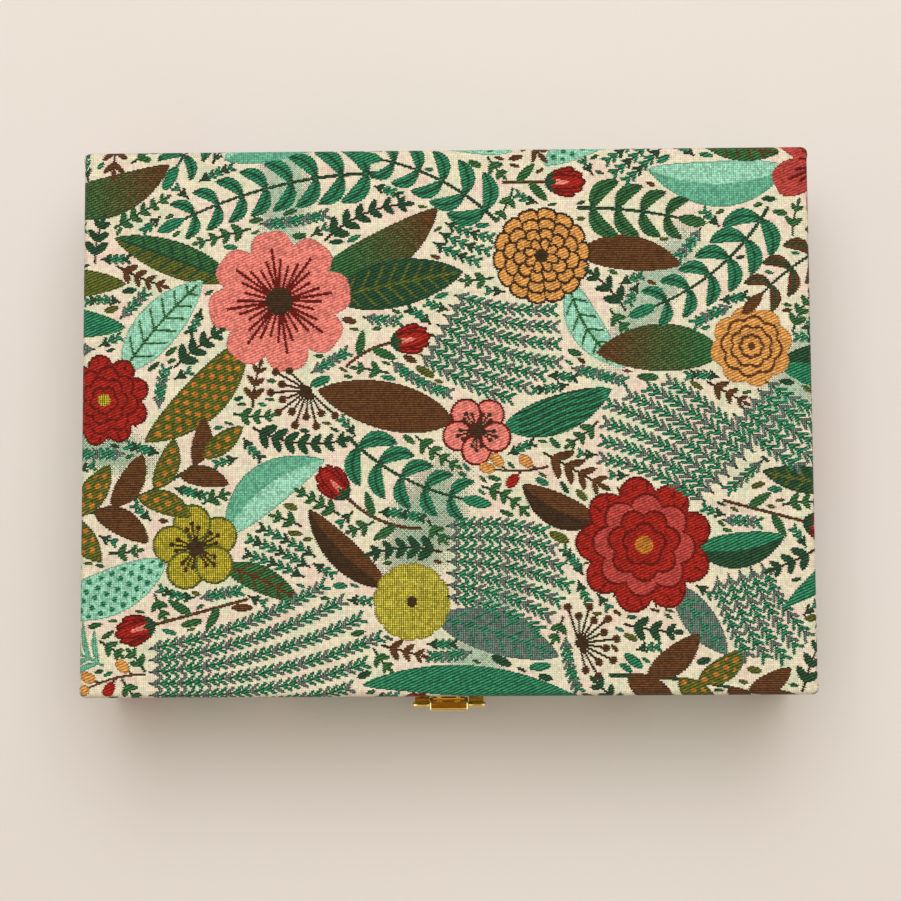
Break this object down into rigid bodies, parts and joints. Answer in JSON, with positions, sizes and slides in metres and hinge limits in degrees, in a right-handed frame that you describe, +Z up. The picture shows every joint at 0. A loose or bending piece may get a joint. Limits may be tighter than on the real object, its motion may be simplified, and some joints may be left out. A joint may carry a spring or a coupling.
{
  "type": "brocade keepsake box",
  "caption": "Rectangular cloth-covered keepsake box with a padded hinged lid, a lined tray and a brass lever clasp at the front.",
  "frame": {"origin": "centre of the underside, on the surface the box stands on", "axes": "+X along the width, to the right seen from the clasp; +Y from the clasp towards the hinges; +Z up"},
  "size_m": [0.266, 0.2117, 0.07],
  "materials": {
    "brocade": "woven tapestry cloth with a ribbed face, cream ground with a green, aqua, red, coral and ochre figure",
    "lining": "short velvet",
    "board": "raw fibreboard",
    "card": "grey pasteboard",
    "foam": "soft foam and wadding",
    "paper": "dark backing paper",
    "brass": "bright plated",
    "polished_brass": "polished gold-coloured plating"
  },
  "bodies": {
    "tray": {"underside_paper": "paper", "base_bottom_board": "board", "base_front_board": "board", "base_back_board": "board", "base_left_board": "board", "base_right_board": "board", "base_cloth": "brocade", "base_lining_front": "lining", "base_lining_back": "lining", "base_lining_left": "lining", "base_lining_right": "lining", "floor_pad_card": "card", "floor_pad_foam": "foam", "floor_pad_cover": "lining", "left_hinge_base_leaf": "brass", "left_hinge_pin": "brass", "right_hinge_base_leaf": "brass", "right_hinge_pin": "brass", "hinge_base_screws": "brass", "clasp_plate": "polished_brass", "clasp_pin": "polished_brass", "clasp_plate_nails": "polished_brass"},
    "lid": {"lid_top_board": "board", "lid_front_board": "board", "lid_back_board": "board", "lid_left_board": "board", "lid_right_board": "board", "lid_wadding": "foam", "lid_cloth": "brocade", "lid_lining_front": "lining", "lid_lining_back": "lining", "lid_lining_left": "lining", "lid_lining_right": "lining", "lid_pad_card": "card", "lid_pad_foam": "foam", "lid_pad_cover": "lining", "left_hinge_lid_leaf": "brass", "right_hinge_lid_leaf": "brass", "hinge_lid_screws": "brass", "clasp_catch": "polished_brass", "clasp_catch_nails": "polished_brass"},
    "lever": {"clasp_lever": "polished_brass"}
  },
  "joints": [
    {"name": "lid_hinge", "type": "hinge", "parent": "tray", "child": "lid", "pos_m": [0, 0.1021, 0.044], "axis": [-1, 0, 0], "range_deg": [0, 105]},
    {"name": "clasp_lever_swing", "type": "hinge", "parent": "tray", "child": "lever", "pos_m": [0, -0.1038, 0.0408], "axis": [1, 0, 0], "range_deg": [0, 50]}
  ]
}
